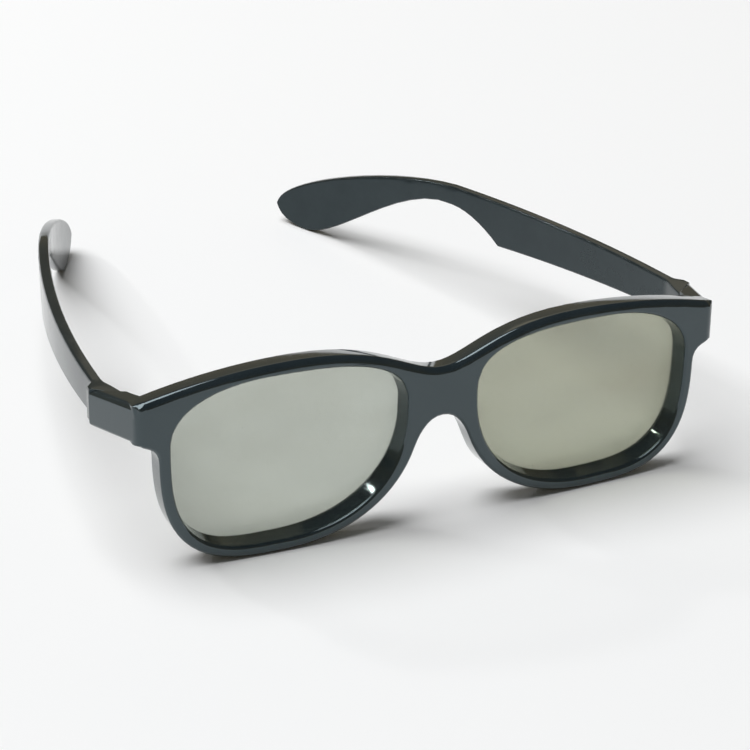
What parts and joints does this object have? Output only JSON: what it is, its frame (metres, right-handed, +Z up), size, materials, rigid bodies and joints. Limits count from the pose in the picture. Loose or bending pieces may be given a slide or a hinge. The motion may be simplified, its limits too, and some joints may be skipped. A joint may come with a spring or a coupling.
{
  "type": "3d glasses",
  "caption": "Passive cinema 3-D glasses: moulded plastic front with recessed polarising film lenses, wrap-round hinge ends and folding temples with dropped ear hooks.",
  "frame": {"origin": "bottom centre of the bounding box, on the surface that the rims and temple tips stand on", "axes": "+X towards the wearer's left, -Y the way the wearer looks, +Z up"},
  "size_m": [0.1544, 0.1676, 0.0456],
  "materials": {
    "frame_plastic": "gloss black moulding",
    "temple_plastic": "gloss black moulding",
    "retarder_film": "clear optical film",
    "polariser_film": "grey-green translucent film",
    "pin_steel": "plain drawn wire"
  },
  "bodies": {
    "front": {"front_frame": "frame_plastic", "retarder_left": "retarder_film", "retarder_right": "retarder_film", "polariser_left": "polariser_film", "polariser_right": "polariser_film", "hinge_pin_left": "pin_steel", "hinge_pin_right": "pin_steel"},
    "temple_left": {"temple_left": "temple_plastic"},
    "temple_right": {"temple_right": "temple_plastic"}
  },
  "joints": [
    {"name": "temple_left_fold", "type": "hinge", "parent": "front", "child": "temple_left", "pos_m": [0.0715, -0.07085, 0.03445], "axis": [0, 0.0743, 0.9972], "range_deg": [0, 78]},
    {"name": "temple_right_fold", "type": "hinge", "parent": "front", "child": "temple_right", "pos_m": [-0.0715, -0.07085, 0.03445], "axis": [0, 0.0743, 0.9972], "range_deg": [-66, 0]}
  ]
}
